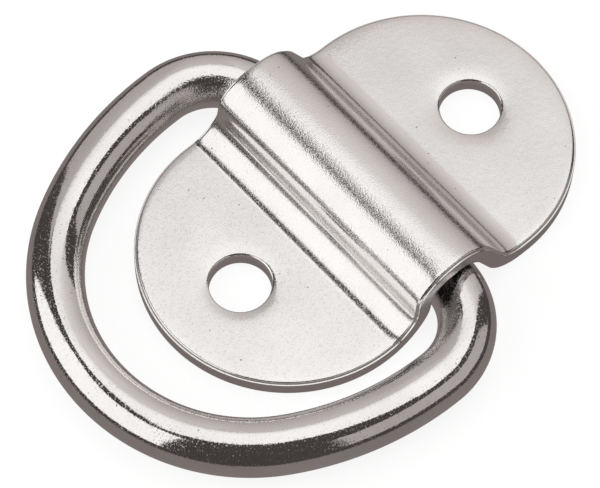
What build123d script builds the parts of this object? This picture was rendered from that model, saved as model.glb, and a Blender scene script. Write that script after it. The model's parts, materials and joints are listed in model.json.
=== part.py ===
from build123d import *
import math
import os

# Lashing ring with a two-hole saddle plate, made to be screwed to a flat surface.
# The plate is one pressed sheet: two round lobes, a hole in each, and a saddle across
# the middle. The D-ring's straight leg lies in the tunnel under the saddle, so the
# ring folds flat either way.
# Frame: +X along the plate, away from the lobe that the ring lies around, +Y along the
# saddle, +Z up, with the origin on the mounting surface midway between the two holes.

# Driving dimensions, in millimetres
PLATE_LENGTH = 50.8
PLATE_WIDTH = 31.6
SHEET_THICKNESS = 2.0
HOLE_SPACING = 32.0
HOLE_DIAMETER = 6.5
HOLE_EDGE_ROUND = 0.25        # soft edge that the punch leaves on the upper side
BEND_RADIUS = 2.3             # hollow bend between a lobe and the saddle

ROD_DIAMETER = 6.0
RING_SIDE_GAP = 2.9           # between the saddle's end and the ring's arm, each side
RING_NOSE_GAP = 6.1           # between the lobe's tip and the inside of the ring's nose
RING_CORNER_RADIUS = 5.0      # inside of the corners beside the straight leg
RING_NOSE_EASE = 1.8          # how much smaller the nose's radius is than half the width

TUNNEL_SIDE_CLEARANCE = 0.25  # beside the ring's corners, which start inside the tunnel
TUNNEL_TOP_CLEARANCE = 0.85   # above the same corners when the ring stands upright

# Ring, worked out on the rod's centreline
rod_radius = ROD_DIAMETER / 2
ring_half_width = PLATE_WIDTH / 2 + RING_SIDE_GAP + rod_radius
ring_reach = PLATE_LENGTH / 2 + RING_NOSE_GAP + rod_radius
corner_radius = RING_CORNER_RADIUS + rod_radius
nose_radius = ring_half_width - RING_NOSE_EASE
leg_half_length = ring_half_width - corner_radius
leg_height = rod_radius       # the leg's centreline when it lies on the mounting surface

# The side arc runs from the corner, where it is level with the plate's long side, to
# the nose arc, whose centre is on the ring's middle line.
centre_step = ring_reach - nose_radius - corner_radius
side_radius = (centre_step**2 + ring_half_width**2 - nose_radius**2) / (2 * RING_NOSE_EASE)
side_sweep = math.degrees(math.atan2(centre_step, side_radius - ring_half_width))
nose_sweep = 90 - side_sweep

# Saddle: the inside of each corner crosses the saddle's end this far from the leg's
# centreline, so the tunnel is that wide and that high above it, with its clearances
corner_tuck = PLATE_WIDTH / 2 - leg_half_length
corner_reach = corner_radius - math.sqrt(RING_CORNER_RADIUS**2 - corner_tuck**2)
tunnel_radius = corner_reach + TUNNEL_SIDE_CLEARANCE
tunnel_height = leg_height + corner_reach + TUNNEL_TOP_CLEARANCE
saddle_radius = tunnel_radius + SHEET_THICKNESS
saddle_height = tunnel_height + SHEET_THICKNESS
bend_angle = math.degrees(math.acos(1 - tunnel_height / (saddle_radius + BEND_RADIUS)))

os.makedirs("parts", exist_ok=True)

# Saddle plate: the bent section along the whole width, trimmed to the blank's outline
with BuildPart() as saddle_plate:
    with BuildSketch(Plane.XZ):
        with BuildLine():
            crest = JernArc((0, saddle_height), (1, 0), saddle_radius, -bend_angle)
            bend = JernArc(crest @ 1, crest % 1, BEND_RADIUS, bend_angle)
            Line(bend @ 1, (PLATE_LENGTH / 2, SHEET_THICKNESS))
            offset(amount=SHEET_THICKNESS, side=Side.RIGHT)
        make_face()
        mirror(about=Plane.YZ)
    extrude(amount=PLATE_WIDTH / 2, both=True)
    with BuildSketch(Plane.XY):
        SlotOverall(PLATE_LENGTH, PLATE_WIDTH)
    extrude(amount=saddle_height, mode=Mode.INTERSECT)
    with Locations(Plane.XY.offset(SHEET_THICKNESS)):
        with GridLocations(HOLE_SPACING, 0, 2, 1):
            Hole(HOLE_DIAMETER / 2, depth=SHEET_THICKNESS)
    hole_rims = (
        saddle_plate.edges()
        .filter_by(GeomType.CIRCLE)
        .filter_by(lambda edge: abs(edge.radius - HOLE_DIAMETER / 2) < 1e-6)
        .group_by(Axis.Z)[-1]
    )
    fillet(hole_rims, HOLE_EDGE_ROUND)
saddle_plate.part.label = "saddle_plate"

# D-ring: one round bar, bent and closed by a butt weld in the leg under the saddle
with BuildPart() as d_ring:
    with BuildLine(Plane.XY.offset(leg_height)) as ring_path:
        leg = Line((0, 0), (0, leg_half_length))
        corner = JernArc(leg @ 1, leg % 1, corner_radius, 90)
        side = JernArc(corner @ 1, corner % 1, side_radius, side_sweep)
        JernArc(side @ 1, side % 1, nose_radius, nose_sweep)
        mirror(about=Plane.XZ)
    with BuildSketch(Plane.XZ):
        with Locations((0, leg_height)):
            Circle(rod_radius)
    sweep(path=ring_path.wires()[0])
d_ring.part.label = "d_ring"

for piece in (saddle_plate, d_ring):
    export_step(piece.part, f"parts/{piece.part.label}.step")
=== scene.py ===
import json
import math

import bmesh
import bpy
from mathutils import Matrix, Vector


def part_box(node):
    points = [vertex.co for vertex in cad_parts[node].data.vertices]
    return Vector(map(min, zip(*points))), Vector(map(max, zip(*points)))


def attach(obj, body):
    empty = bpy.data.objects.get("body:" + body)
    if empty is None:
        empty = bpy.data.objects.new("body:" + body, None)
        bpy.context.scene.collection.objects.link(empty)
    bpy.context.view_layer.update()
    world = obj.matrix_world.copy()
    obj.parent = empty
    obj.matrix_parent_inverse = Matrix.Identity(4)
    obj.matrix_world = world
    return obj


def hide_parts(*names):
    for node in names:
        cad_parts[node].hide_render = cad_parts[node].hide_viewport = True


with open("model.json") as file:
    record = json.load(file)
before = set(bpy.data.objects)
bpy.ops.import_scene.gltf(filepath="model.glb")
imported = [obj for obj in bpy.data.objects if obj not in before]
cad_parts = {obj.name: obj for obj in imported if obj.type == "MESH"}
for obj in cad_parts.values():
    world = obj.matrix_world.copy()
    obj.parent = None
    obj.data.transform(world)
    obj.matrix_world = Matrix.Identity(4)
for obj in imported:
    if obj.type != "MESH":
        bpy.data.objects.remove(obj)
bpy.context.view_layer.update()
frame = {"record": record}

# A lashing ring: a pressed saddle plate with two screw holes, and a D-ring of round bar
# whose straight leg lies in the tunnel under the saddle. Sizes are in metres.
MM = 0.001

# ---------------------------------------------------------------- sizes from the frame
plate_low, plate_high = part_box("saddle_plate")
ring_low, ring_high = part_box("d_ring")
HOLES = next(m for m in frame["record"]["mounts"] if m["name"] == "fixing_holes")

plate_length = plate_high.x - plate_low.x
half_width = plate_high.y
saddle_top = plate_high.z
hole_radius = HOLES["dims"]["hole_r_mm"] * MM
hole_offset = HOLES["dims"]["spacing_x_mm"] * MM / 2

rod_radius = ring_high.x
ring_half_width = ring_high.y - rod_radius
ring_reach = -ring_low.x - rod_radius

# Sizes that the frame doesn't state, the same as in the CAD model
SHEET = 2.0 * MM
RING_CORNER_RADIUS = 8.0 * MM      # on the rod's centreline
RING_NOSE_EASE = 1.8 * MM
leg_end = ring_half_width - RING_CORNER_RADIUS

# The saddle's section on its top face, out from the crest on each side of X. Each bend
# is a radius in mm and the slope in degrees that it ends at. Over the wall the bends
# swell, under it they are hollow. The pressing leans a little towards -X, so the wall on
# that side is the steeper one.
CREST = -0.5 * MM
BENDS = {
    -1: {
        "over": [(8.0, 18), (4.9, 54), (2.3, 84)],
        "under": [(1.2, 60), (4.1, 12), (0.7, 0)],
    },
    1: {"over": [(5.7, 62)], "under": [(3.4, 0)]},
}


# ---------------------------------------------------------------- mesh helpers
def mesh_object(name, verts, faces):
    mesh = bpy.data.meshes.new(name)
    mesh.from_pydata(verts, [], faces)
    mesh.validate()
    work = bmesh.new()
    work.from_mesh(mesh)
    bmesh.ops.recalc_face_normals(work, faces=work.faces)
    work.to_mesh(mesh)
    work.free()
    mesh.shade_smooth()
    piece = bpy.data.objects.new(name, mesh)
    bpy.context.scene.collection.objects.link(piece)
    return piece


# ---------------------------------------------------------------- saddle plate
# The sheet is laid out flat as (s, y, n): s along the plate measured on the sheet's
# middle surface from the crest, y across it, n from -SHEET/2 underneath to +SHEET/2 on
# top. Then it is bent over the saddle's section, which keeps its thickness.
def saddle_spans(side):
    """The middle surface's spans on one side of the crest. Each is the run, x, z and
    slope where it starts, and its radius: above 0 it swells, below 0 it sinks, and 0 is
    straight. The last one is the flat lobe."""
    over = BENDS[side]["over"]
    under = BENDS[side]["under"]
    steps = [(radius * MM - SHEET / 2, math.radians(slope)) for radius, slope in over]
    wall_slope = steps[-1][1]
    steps.append((0, wall_slope))
    steps += [(-radius * MM - SHEET / 2, math.radians(slope)) for radius, slope in under]
    drop = 0.0
    slope = 0.0
    for radius, end in steps:
        drop += radius * (math.cos(slope) - math.cos(end))
        slope = end
    wall = (saddle_top - SHEET - drop) / math.sin(wall_slope)
    run, x, z, slope = 0.0, side * CREST, saddle_top - SHEET / 2, 0.0
    spans = []
    for radius, end in steps:
        spans.append((run, x, z, slope, radius))
        if radius == 0:
            run += wall
            x += wall * math.cos(slope)
            z -= wall * math.sin(slope)
        else:
            run += radius * (end - slope)
            x += radius * (math.sin(end) - math.sin(slope))
            z += radius * (math.cos(end) - math.cos(slope))
            slope = end
    spans.append((run, x, z, 0.0, 0))
    return spans


SPANS = {side: saddle_spans(side) for side in (-1, 1)}
lobe_x = plate_length / 2 - half_width


def flat_run(side, x):
    """The run on the middle surface out to a place on a flat lobe."""
    run, start, *_ = SPANS[side][-1]
    return run + x - start


lobe_s = {side: flat_run(side, lobe_x) for side in (-1, 1)}
hole_s = {side: flat_run(side, hole_offset) for side in (-1, 1)}

WAIST = 0.25 * MM            # how far the saddle's ends are drawn in by the pressing
HOLE_ROLL = 0.16 * MM        # how deep the punch dishes the sheet at each hole's edge
HOLE_ROLL_WIDTH = 0.65 * MM
RIM_ROLL = 0.07 * MM         # the same along the blank's outline
RIM_ROLL_WIDTH = 0.6 * MM

# How finely the sheet is divided: across it, around each lobe, along it, and from each
# lobe's outline (0) in to its hole (1)
ROWS = 72
ARC_STEPS = 132
COLUMN_STEP = 0.22 * MM
LOBE_RINGS = [0.05, 0.12, 0.22, 0.34, 0.46, 0.58, 0.69, 0.78, 0.86, 0.93, 1.0]

# The cut edge: the die rounds its upper corner, leaves a fine ledge below the rounding
# on the outline, then comes the sheared wall and a small break at the bottom.
RIM_ROUND = 0.25 * MM
RIM_LEDGE = 0.17 * MM
HOLE_ROUND = 0.24 * MM
LEDGE_CORNER = 0.02 * MM
BOTTOM_ROUND = 0.10 * MM
TOP_ROUND_STEPS = 5
BOTTOM_ROUND_STEPS = 2
WALL_STEPS = 4


def edge_section(top_round, ledge=0.0):
    """(inset, n, cut) down the cut edge, from the top face to the underside. Cut, the
    share of sheared metal in the look, is 0 down to the ledge and 1 below it."""
    section = []
    for step in range(TOP_ROUND_STEPS + 1):
        turn = math.radians(90 * step / TOP_ROUND_STEPS)
        inset = ledge + top_round * (1 - math.sin(turn))
        n = SHEET / 2 - top_round * (1 - math.cos(turn))
        section.append((inset, n, 0.0))
    top = SHEET / 2 - top_round
    if ledge > 0:
        level = top - LEDGE_CORNER
        section.append((ledge - LEDGE_CORNER, level, 0.0))
        section.append((ledge - 2 * LEDGE_CORNER, level, 0.0))
        section.append((2 * LEDGE_CORNER, level, 0.0))
        section.append((LEDGE_CORNER, level, 0.0))
        top = level - LEDGE_CORNER
        section.append((0.0, top, 1.0))
    bottom = -SHEET / 2 + BOTTOM_ROUND
    for step in range(1, WALL_STEPS):
        section.append((0.0, top + (bottom - top) * step / WALL_STEPS, 1.0))
    for step in range(BOTTOM_ROUND_STEPS + 1):
        turn = math.radians(90 * step / BOTTOM_ROUND_STEPS)
        inset = BOTTOM_ROUND * (1 - math.cos(turn))
        section.append((inset, bottom - BOTTOM_ROUND * math.sin(turn), 1.0))
    return section


def columns():
    """Places along the sheet, from one lobe's chord to the other's."""
    low = round(lobe_s[-1] / COLUMN_STEP)
    high = round(lobe_s[1] / COLUMN_STEP)
    left = [-lobe_s[-1] * i / low for i in range(low, 0, -1)]
    return left + [lobe_s[1] * i / high for i in range(high + 1)]


def lobe_arc(side, inset):
    """The lobe's outer arc, from its +Y end to its -Y end, without the two ends."""
    radius = half_width - inset
    points = []
    for step in range(1, ARC_STEPS):
        turn = math.pi * (0.5 - step / ARC_STEPS)
        along = lobe_s[side] + radius * math.cos(turn)
        points.append((side * along, radius * math.sin(turn)))
    return points


class Sheet:
    """The flat sheet's mesh: its points as (s, y, n), its faces, and each point's cut."""

    def __init__(self):
        self.verts = []
        self.faces = []
        self.cut = []

    def add(self, s, y, n, cut=0.0):
        self.verts.append((s, y, n))
        self.cut.append(cut)
        return len(self.verts) - 1

    def bridge(self, first, second):
        """Quads between two closed loops of the same length."""
        for a in range(len(first)):
            b = (a + 1) % len(first)
            self.faces.append((first[a], first[b], second[b], second[a]))

    def face_of_sheet(self, inset, hole_inset, n):
        """One side of the sheet. Returns its outline and its two hole loops."""
        across = half_width - inset
        stations = columns()
        grid = []
        for s in stations:
            row = [self.add(s, across * (2 * j / ROWS - 1), n) for j in range(ROWS + 1)]
            grid.append(row)
        for near, far in zip(grid, grid[1:]):
            for j in range(ROWS):
                self.faces.append((near[j], far[j], far[j + 1], near[j + 1]))
        holes = []
        arcs = []
        for side, chord in ((-1, grid[0]), (1, grid[-1])):
            arc = [self.add(s, y, n) for s, y in lobe_arc(side, inset)]
            arcs.append(arc)
            holes.append(self.lobe(side, chord + arc, hole_inset, n))
        low_edge = [row[0] for row in grid]
        high_edge = [row[-1] for row in grid]
        outline = low_edge + arcs[1][::-1] + high_edge[::-1] + arcs[0]
        return outline, holes

    def lobe(self, side, outer, inset, n):
        """Fills a lobe from its outer loop in to the hole's loop, which it returns."""
        middle = Vector((side * hole_s[side], 0))
        outer_points = [Vector(self.verts[v][:2]) for v in outer]
        last = outer
        for share in LOBE_RINGS:
            loop = []
            for point in outer_points:
                away = point - middle
                rim = middle + away.normalized() * (hole_radius + inset)
                place = point.lerp(rim, share)
                loop.append(self.add(place.x, place.y, n))
            self.bridge(last, loop)
            last = loop
        return last


def outline_points(inset):
    """The blank's outline, in the same order as Sheet.face_of_sheet gives it."""
    across = half_width - inset
    stations = columns()
    low_edge = [(s, -across) for s in stations]
    high_edge = [(s, across) for s in reversed(stations)]
    return low_edge + lobe_arc(1, inset)[::-1] + high_edge + lobe_arc(-1, inset)


def hole_points(side, loop, sheet, inset):
    """A loop around a hole at this inset, one point for each of another loop's."""
    middle = Vector((side * hole_s[side], 0))
    points = []
    for v in loop:
        away = (Vector(sheet.verts[v][:2]) - middle).normalized()
        points.append(tuple(middle + away * (hole_radius + inset)))
    return points


def side_of(s):
    return 1 if s >= 0 else -1


def rim_distance(s, y):
    """How far a point of the flat sheet is from the blank's outline."""
    over = abs(s) - lobe_s[side_of(s)]
    if over <= 0:
        return half_width - abs(y)
    return half_width - math.hypot(over, y)


def hole_distance(s, y):
    return math.hypot(abs(s) - hole_s[side_of(s)], y) - hole_radius


def bent(s, y, n):
    """Where a point of the flat sheet is on the pressed plate."""
    upper = (n + SHEET / 2) / SHEET
    roll = HOLE_ROLL * math.exp(-max(hole_distance(s, y), 0) / HOLE_ROLL_WIDTH)
    roll += RIM_ROLL * math.exp(-max(rim_distance(s, y), 0) / RIM_ROLL_WIDTH)
    n -= roll * upper
    side = side_of(s)
    along = abs(s)
    run, x, z, slope, radius = [span for span in SPANS[side] if span[0] <= along][-1]
    if radius == 0:
        x += (along - run) * math.cos(slope)
        z -= (along - run) * math.sin(slope)
    else:
        turn = slope + (along - run) / radius
        x += radius * (math.sin(turn) - math.sin(slope))
        z += radius * (math.cos(turn) - math.cos(slope))
        slope = turn
    drawn = 0.5 + 0.5 * math.cos(math.pi * min(along / lobe_s[side], 1))
    y *= 1 - WAIST / half_width * drawn
    return (side * (x + n * math.sin(slope)), y, z + n * math.cos(slope))


def make_saddle_plate():
    sheet = Sheet()
    rim = edge_section(RIM_ROUND, RIM_LEDGE)
    bore = edge_section(HOLE_ROUND)
    top_outline, top_holes = sheet.face_of_sheet(rim[0][0], bore[0][0], rim[0][1])
    low_outline, low_holes = sheet.face_of_sheet(rim[-1][0], bore[-1][0], rim[-1][1])
    last = top_outline
    for inset, n, cut in rim[1:-1]:
        loop = [sheet.add(s, y, n, cut) for s, y in outline_points(inset)]
        sheet.bridge(last, loop)
        last = loop
    sheet.bridge(last, low_outline)
    for side, top, low in zip((-1, 1), top_holes, low_holes):
        last = top
        for inset, n, cut in bore[1:-1]:
            points = hole_points(side, top, sheet, inset)
            loop = [sheet.add(s, y, n, cut) for s, y in points]
            sheet.bridge(last, loop)
            last = loop
        sheet.bridge(last, low)
    verts = [bent(*v) for v in sheet.verts]
    piece = mesh_object("pressed_saddle_plate", verts, sheet.faces)
    cut_edge = piece.data.attributes.new("cut_edge", "FLOAT", "POINT")
    cut_edge.data.foreach_set("value", sheet.cut)
    return piece


# ---------------------------------------------------------------- D-ring
ROD_SIDES = 72
RING_STEP = 0.3 * MM


def ring_path():
    """Half of the rod's centreline, from the leg's middle to the nose, as
    (point, heading, arc length) with the heading in radians from +X."""
    nose_radius = ring_half_width - RING_NOSE_EASE
    step = ring_reach - nose_radius - RING_CORNER_RADIUS
    side_radius = (step**2 + ring_half_width**2 - nose_radius**2) / (2 * RING_NOSE_EASE)
    side_sweep = math.atan2(step, side_radius - ring_half_width)
    spans = [
        (leg_end, 0.0),
        (RING_CORNER_RADIUS * math.pi / 2, 1 / RING_CORNER_RADIUS),
        (side_radius * side_sweep, 1 / side_radius),
        (nose_radius * (math.pi / 2 - side_sweep), 1 / nose_radius),
    ]
    x, y, heading, run = 0.0, 0.0, math.pi / 2, 0.0
    path = [(x, y, heading, run)]
    for length, bend in spans:
        count = max(2, round(length / RING_STEP))
        piece = length / count
        for _ in range(count):
            turn = bend * piece
            chord = piece if turn == 0 else 2 * math.sin(turn / 2) / bend
            x += chord * math.cos(heading + turn / 2)
            y += chord * math.sin(heading + turn / 2)
            heading += turn
            run += piece
            path.append((x, y, heading, run))
    return path


def make_d_ring():
    half = ring_path()
    full = half[:-1]
    total = half[-1][3]
    for x, y, heading, run in reversed(half[1:]):
        full.append((x, -y, math.pi - heading, 2 * total - run))
    verts = []
    faces = []
    for x, y, heading, run in full:
        out = Vector((math.sin(heading), -math.cos(heading), 0))
        middle = Vector((x, y, rod_radius))
        for k in range(ROD_SIDES):
            turn = 2 * math.pi * k / ROD_SIDES
            normal = out * math.cos(turn) + Vector((0, 0, math.sin(turn)))
            verts.append(middle + normal * rod_radius)
    count = len(full)
    for i in range(count):
        j = (i + 1) % count
        for k in range(ROD_SIDES):
            m = (k + 1) % ROD_SIDES
            faces.append((
                i * ROD_SIDES + k,
                j * ROD_SIDES + k,
                j * ROD_SIDES + m,
                i * ROD_SIDES + m,
            ))
    return mesh_object("bent_d_ring", verts, faces)


# ---------------------------------------------------------------- materials
class Finish:
    """A metallic material, with short ways to add its nodes."""

    def __init__(self, name):
        self.material = bpy.data.materials.new(name)
        self.material.use_nodes = True
        self.nodes = self.material.node_tree.nodes
        self.shader = self.nodes["Principled BSDF"]
        self.shader.inputs["Metallic"].default_value = 1.0
        self.place = self.nodes.new("ShaderNodeTexCoord").outputs["Object"]
        split = self.nodes.new("ShaderNodeSeparateXYZ")
        self.link(self.place, split.inputs[0])
        self.x, self.y, _ = split.outputs

    def link(self, source, target):
        self.material.node_tree.links.new(source, target)

    def noise(self, size, detail):
        """Noise whose features are about this size, from 0 to 1."""
        node = self.nodes.new("ShaderNodeTexNoise")
        node.inputs["Scale"].default_value = 1 / size
        node.inputs["Detail"].default_value = detail
        self.link(self.place, node.inputs["Vector"])
        return node.outputs["Fac"]

    def dots(self, spacing, radius):
        """Small round dots: 1 in a dot and 0 outside, about one to each cell. The radius
        is a share of the spacing."""
        node = self.nodes.new("ShaderNodeTexVoronoi")
        node.inputs["Scale"].default_value = 1 / spacing
        self.link(self.place, node.inputs["Vector"])
        return self.ranged(node.outputs["Distance"], radius, 0.4 * radius, 0, 1)

    def ranged(self, value, low, high, to_low, to_high):
        """A value moved from one range to another, and kept within it."""
        node = self.nodes.new("ShaderNodeMapRange")
        self.link(value, node.inputs["Value"])
        for name, number in (
            ("From Min", low), ("From Max", high), ("To Min", to_low), ("To Max", to_high),
        ):
            node.inputs[name].default_value = number
        return node.outputs["Result"]

    def maths(self, operation, *values):
        """A sum, or another operation, on outputs and numbers."""
        node = self.nodes.new("ShaderNodeMath")
        node.operation = operation
        for socket, value in zip(node.inputs, values):
            if isinstance(value, (int, float)):
                socket.default_value = value
            else:
                self.link(value, socket)
        return node.outputs[0]

    def blend(self, share, first, second):
        """A mix of two colours, each an output or three numbers."""
        node = self.nodes.new("ShaderNodeMix")
        node.data_type = "RGBA"
        self.link(share, node.inputs["Factor"])
        for socket, value in ((node.inputs["A"], first), (node.inputs["B"], second)):
            if isinstance(value, tuple):
                socket.default_value = (*value, 1)
            else:
                self.link(value, socket)
        return node.outputs["Result"]

    def bump(self, height, depth, below=None):
        """The normal of a height times a depth, on top of another bump's normal."""
        node = self.nodes.new("ShaderNodeBump")
        node.inputs["Distance"].default_value = depth
        self.link(height, node.inputs["Height"])
        if below:
            self.link(below, node.inputs["Normal"])
        return node.outputs[0]


# Bright zinc where it is lighter and darker, a painted shade for the pits, and the steel
# of a cut edge
SHEET_LIGHT = (0.89, 0.88, 0.872)
SHEET_DARK = (0.84, 0.825, 0.815)
ROD_LIGHT = (0.88, 0.865, 0.86)
ROD_DARK = (0.81, 0.79, 0.78)
# painted shade: the near-black colour put into each pit
PAINTED_PIT_SHADE = (0.30, 0.27, 0.26)
CUT_COLOUR = (0.62, 0.58, 0.57)
PIT_DEPTH = -0.02 * MM


def plated_sheet():
    """Bright zinc on pressed sheet: satin, grainier where the press bent it, and dull on
    the cut edge. Its coarsest grains are rough, which gives the finish its speckle."""
    look = Finish("plated_sheet")
    edge = look.nodes.new("ShaderNodeAttribute")
    edge.attribute_name = "cut_edge"
    cut = edge.outputs["Fac"]
    from_middle = look.maths("ABSOLUTE", look.x)
    worked = look.ranged(from_middle, 7 * MM, 4 * MM, 0, 1)
    cloud = look.noise(6 * MM, 3)
    grain = look.noise(0.16 * MM, 2)
    peel = look.noise(0.7 * MM, 1)
    pitted = look.ranged(cloud, 0.45, 0.6, 0, 1)
    pits_with_painted_shade = look.maths("MULTIPLY", look.dots(1.5 * MM, 0.07), pitted)

    metal = look.blend(look.ranged(cloud, 0.35, 0.65, 0, 1), SHEET_LIGHT, SHEET_DARK)
    # painted shade: each pit is coloured dark where its hollow would be in shade; the
    # pits' dents are a real bump below
    metal = look.blend(pits_with_painted_shade, metal, PAINTED_PIT_SHADE)
    metal = look.blend(look.maths("MULTIPLY", cut, 0.6), metal, CUT_COLOUR)
    look.link(metal, look.shader.inputs["Base Color"])

    speckle = look.ranged(grain, 0.48, 0.70, 0.10, 0.36)
    rough = look.maths("ADD", speckle, look.maths("MULTIPLY", cut, 0.18))
    look.link(rough, look.shader.inputs["Roughness"])

    relief = look.maths("MULTIPLY", grain, look.ranged(worked, 0, 1, 0.22, 0.95))
    normal = look.bump(relief, 0.020 * MM)
    normal = look.bump(peel, 0.006 * MM, normal)
    normal = look.bump(pits_with_painted_shade, PIT_DEPTH, normal)
    look.link(normal, look.shader.inputs["Normal"])
    return look.material


def plated_rod():
    """Bright zinc on drawn bar: near mirror with a speckle of rough grains, and pitted
    inside the corners, where the bar was bent tight."""
    look = Finish("plated_rod")
    beside = look.maths("SUBTRACT", look.maths("ABSOLUTE", look.y), leg_end)
    behind = look.maths("ADD", look.x, RING_CORNER_RADIUS)
    squares = [look.maths("MULTIPLY", side, side) for side in (beside, behind)]
    from_corner_centre = look.maths("SQRT", look.maths("ADD", *squares))
    worked = look.ranged(from_corner_centre, 7.4 * MM, 5.6 * MM, 0, 1)
    cloud = look.noise(7 * MM, 3)
    grain = look.noise(0.18 * MM, 2)
    wobble = look.noise(2.4 * MM, 1)
    ripple = look.noise(0.9 * MM, 1)
    pitted = look.ranged(cloud, 0.4, 0.6, 0, 1)
    pits_with_painted_shade = look.maths("MULTIPLY", look.dots(1.1 * MM, 0.09), pitted)

    metal = look.blend(look.ranged(cloud, 0.35, 0.65, 0, 1), ROD_LIGHT, ROD_DARK)
    # painted shade: each pit is coloured dark where its hollow would be in shade; the
    # pits' dents are a real bump below
    metal = look.blend(pits_with_painted_shade, metal, PAINTED_PIT_SHADE)
    look.link(metal, look.shader.inputs["Base Color"])

    speckle = look.ranged(grain, 0.53, 0.70, 0.05, 0.40)
    look.link(speckle, look.shader.inputs["Roughness"])

    relief = look.maths("MULTIPLY", grain, look.ranged(worked, 0, 1, 0.15, 2.0))
    normal = look.bump(relief, 0.022 * MM)
    normal = look.bump(wobble, 0.015 * MM, normal)
    normal = look.bump(ripple, 0.004 * MM, normal)
    normal = look.bump(pits_with_painted_shade, PIT_DEPTH, normal)
    look.link(normal, look.shader.inputs["Normal"])
    return look.material


# ---------------------------------------------------------------- studio
# The camera's angles are in degrees, and its lens and sensor in mm. It aims this far
# from the origin, to its own right and up.
CAMERA_AZIMUTH = -42.366
CAMERA_ELEVATION = 61.884
CAMERA_ROLL = 1.356
CAMERA_DISTANCE = 328 * MM
CAMERA_LENS = 188.4
CAMERA_SENSOR = 36
AIM_RIGHT = -5.80 * MM
AIM_UP = -4.50 * MM


def make_camera():
    a = math.radians(CAMERA_AZIMUTH)
    e = math.radians(CAMERA_ELEVATION)
    back = Vector((math.sin(a) * math.cos(e), -math.cos(a) * math.cos(e), math.sin(e)))
    right = Vector((math.cos(a), math.sin(a), 0))
    up = back.cross(right)
    data = bpy.data.cameras.new("camera")
    data.lens = CAMERA_LENS
    data.sensor_width = CAMERA_SENSOR
    data.clip_start = 0.01
    data.clip_end = 20
    camera = bpy.data.objects.new("camera", data)
    bpy.context.scene.collection.objects.link(camera)
    level = Matrix((right, up, back)).transposed()
    turned = level @ Matrix.Rotation(math.radians(CAMERA_ROLL), 3, "Z")
    place = right * AIM_RIGHT + up * AIM_UP + back * CAMERA_DISTANCE
    camera.matrix_world = Matrix.Translation(place) @ turned.to_4x4()
    bpy.context.scene.camera = camera


def direction(azimuth, elevation):
    """A unit vector. Azimuth is clockwise, seen from above, from straight behind the
    object, where the camera's view ends."""
    a = math.radians(azimuth - CAMERA_AZIMUTH)
    e = math.radians(elevation)
    return Vector((math.sin(a) * math.cos(e), math.cos(a) * math.cos(e), math.sin(e)))


WHITE = (1.0, 0.985, 0.975)
WARM = (1.0, 0.93, 0.91)
CARD_DISTANCE = 1.6
CARD_STEPS = 12
TOP_HEIGHT = 1.2


def light_card(name, corners, faces, tint, low, high=None):
    """A glowing card that only the reflections see. Its strength is low at its bottom
    and high at its top, or the same all over."""
    mesh = bpy.data.meshes.new(name)
    mesh.from_pydata(corners, [], faces)
    card = bpy.data.objects.new(name, mesh)
    bpy.context.scene.collection.objects.link(card)
    material = bpy.data.materials.new(name)
    material.use_nodes = True
    nodes = material.node_tree.nodes
    links = material.node_tree.links
    nodes.clear()
    glow = nodes.new("ShaderNodeEmission")
    glow.inputs["Color"].default_value = (*tint, 1)
    glow.inputs["Strength"].default_value = low
    output = nodes.new("ShaderNodeOutputMaterial")
    links.new(glow.outputs[0], output.inputs["Surface"])
    if high is not None:
        place = nodes.new("ShaderNodeTexCoord")
        split = nodes.new("ShaderNodeSeparateXYZ")
        fade = nodes.new("ShaderNodeMapRange")
        fade.inputs["To Min"].default_value = low
        fade.inputs["To Max"].default_value = high
        links.new(place.outputs["Generated"], split.inputs[0])
        links.new(split.outputs["Z"], fade.inputs["Value"])
        links.new(fade.outputs["Result"], glow.inputs["Strength"])
    mesh.materials.append(material)
    card.visible_camera = False


def wall_card(name, tint, left, right, low, high, *strength):
    """An upright card between two azimuths and two elevations."""
    corners = []
    for i in range(CARD_STEPS + 1):
        azimuth = left + (right - left) * i / CARD_STEPS
        corners.append(direction(azimuth, low) * CARD_DISTANCE)
        corners.append(direction(azimuth, high) * CARD_DISTANCE)
    faces = [(2 * i, 2 * i + 2, 2 * i + 3, 2 * i + 1) for i in range(CARD_STEPS)]
    light_card(name, corners, faces, tint, *strength)


# The top light in strips: how far behind the object each starts and ends, as a share of
# the light's height, and its strength. The light falls off towards its back edge.
TOP_STRIPS = [
    (-0.25, 0.40, 1.06),
    (0.40, 0.44, 1.03),
    (0.44, 0.48, 0.99),
    (0.48, 0.52, 0.97),
    (0.52, 0.55, 0.94),
    (0.55, 0.58, 0.89),
    (0.58, 0.61, 0.83),
    (0.61, 0.66, 0.77),
]
TOP_LEFT = -0.34             # its sides, in the same shares
TOP_RIGHT = 0.65

# The back panel in upright strips: the two azimuths, the top edge's elevation, and the
# strength along that edge
BACK_PANELS = [
    (-42, -28, 54.5, 0.46),
    (-28, -14, 55, 0.50),
    (-14, 0, 56, 0.60),
    (0, 14, 57, 0.72),
    (14, 50, 57, 0.80),
]
BACK_BOTTOM = 3              # elevation of the back panel's lower edge
BACK_STRENGTH = 0.42         # along that edge

# The cards at the sides: two azimuths, two elevations and a strength
LEFT_LIGHT = (-147, -70, 3, 60, 1.12)
RIGHT_PANEL = (70, 150, 5, 42, 0.45)


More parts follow.
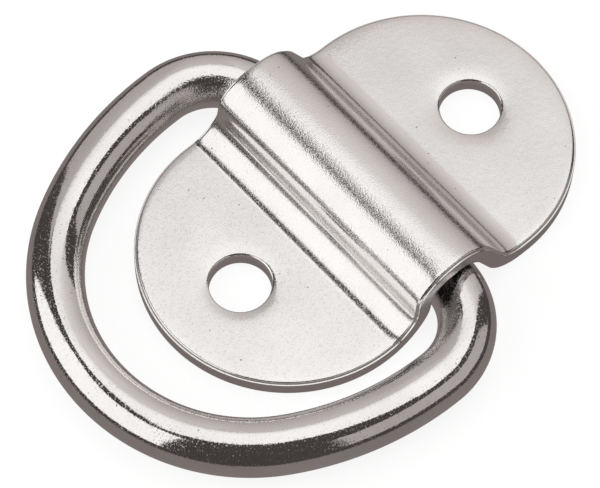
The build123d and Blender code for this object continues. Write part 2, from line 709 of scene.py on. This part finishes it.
def make_studio():
    forward = direction(0, 0) * TOP_HEIGHT
    right = direction(90, 0) * TOP_HEIGHT
    up = Vector((0, 0, TOP_HEIGHT))
    for number, (near, far, strength) in enumerate(TOP_STRIPS):
        spots = [(TOP_LEFT, near), (TOP_RIGHT, near), (TOP_RIGHT, far), (TOP_LEFT, far)]
        corners = [right * u + forward * w + up for u, w in spots]
        light_card(f"top_light_{number}", corners, [(0, 1, 2, 3)], WHITE, strength)
    wall_card("left_light", WHITE, *LEFT_LIGHT)
    for number, (left, right, top, strength) in enumerate(BACK_PANELS):
        name = f"back_panel_{number}"
        wall_card(name, WARM, left, right, BACK_BOTTOM, top, BACK_STRENGTH, strength)
    wall_card("right_panel", WARM, *RIGHT_PANEL)


# What the object reflects between the cards: a table below it and a dark room. The table
# ends and the room starts at these shares of the way from straight down to straight up.
TABLE_TONE = (0.225, 0.195, 0.187)
TABLE_EDGE = 0.385
ROOM_TONE = (0.062, 0.054, 0.052)
ROOM_EDGE = 0.415


def make_world():
    """The table and the room in reflections, and plain white for the camera."""
    world = bpy.data.worlds.new("studio")
    bpy.context.scene.world = world
    world.use_nodes = True
    nodes = world.node_tree.nodes
    links = world.node_tree.links
    nodes.clear()
    where = nodes.new("ShaderNodeTexCoord")
    split = nodes.new("ShaderNodeSeparateXYZ")
    ramp = nodes.new("ShaderNodeValToRGB")
    room = nodes.new("ShaderNodeBackground")
    seen = nodes.new("ShaderNodeBackground")
    path = nodes.new("ShaderNodeLightPath")
    mix = nodes.new("ShaderNodeMixShader")
    output = nodes.new("ShaderNodeOutputWorld")
    height = nodes.new("ShaderNodeMapRange")
    height.inputs["From Min"].default_value = -1
    links.new(where.outputs["Generated"], split.inputs[0])
    links.new(split.outputs["Z"], height.inputs["Value"])
    links.new(height.outputs["Result"], ramp.inputs["Fac"])
    below, above = ramp.color_ramp.elements
    below.position = TABLE_EDGE
    below.color = (*TABLE_TONE, 1)
    above.position = ROOM_EDGE
    above.color = (*ROOM_TONE, 1)
    links.new(ramp.outputs["Color"], room.inputs["Color"])
    seen.inputs["Color"].default_value = (1, 1, 1, 1)
    seen.inputs["Strength"].default_value = 1.0
    links.new(path.outputs["Is Camera Ray"], mix.inputs["Fac"])
    links.new(room.outputs[0], mix.inputs[1])
    links.new(seen.outputs[0], mix.inputs[2])
    links.new(mix.outputs[0], output.inputs["Surface"])


FLOOR_REACH = 3.0
FLOOR_HEIGHT = -0.02 * MM    # just below the plate, so that the two faces don't mix
FLOOR_GREY = (0.3, 0.3, 0.3)
FLOOR_GLOW = 0.86


def make_floor():
    """A pale floor with a faint shadow. It glows, and can be seen through from below."""
    mesh = bpy.data.meshes.new("floor")
    signs = [(-1, -1), (1, -1), (1, 1), (-1, 1)]
    corners = [(FLOOR_REACH * u, FLOOR_REACH * v, FLOOR_HEIGHT) for u, v in signs]
    mesh.from_pydata(corners, [], [(0, 1, 2, 3)])
    floor = bpy.data.objects.new("floor", mesh)
    bpy.context.scene.collection.objects.link(floor)
    material = bpy.data.materials.new("floor")
    material.use_nodes = True
    nodes = material.node_tree.nodes
    links = material.node_tree.links
    nodes.clear()
    matt = nodes.new("ShaderNodeBsdfDiffuse")
    matt.inputs["Color"].default_value = (*FLOOR_GREY, 1)
    glow = nodes.new("ShaderNodeEmission")
    glow.inputs["Strength"].default_value = FLOOR_GLOW
    lit = nodes.new("ShaderNodeAddShader")
    clear = nodes.new("ShaderNodeBsdfTransparent")
    side = nodes.new("ShaderNodeNewGeometry")
    pick = nodes.new("ShaderNodeMixShader")
    output = nodes.new("ShaderNodeOutputMaterial")
    links.new(matt.outputs[0], lit.inputs[0])
    links.new(glow.outputs[0], lit.inputs[1])
    links.new(side.outputs["Backfacing"], pick.inputs["Fac"])
    links.new(lit.outputs[0], pick.inputs[1])
    links.new(clear.outputs[0], pick.inputs[2])
    links.new(pick.outputs[0], output.inputs["Surface"])
    mesh.materials.append(material)
    floor.visible_glossy = False
    floor.visible_shadow = False
    floor.visible_diffuse = False


# ---------------------------------------------------------------- putting it together
make_camera()
make_world()
make_studio()
make_floor()
bpy.context.scene.view_settings.view_transform = "Standard"

plate = make_saddle_plate()
plate.data.materials.append(plated_sheet())
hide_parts("saddle_plate")
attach(plate, "plate")

ring = make_d_ring()
ring.data.materials.append(plated_rod())
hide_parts("d_ring")
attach(ring, "ring")
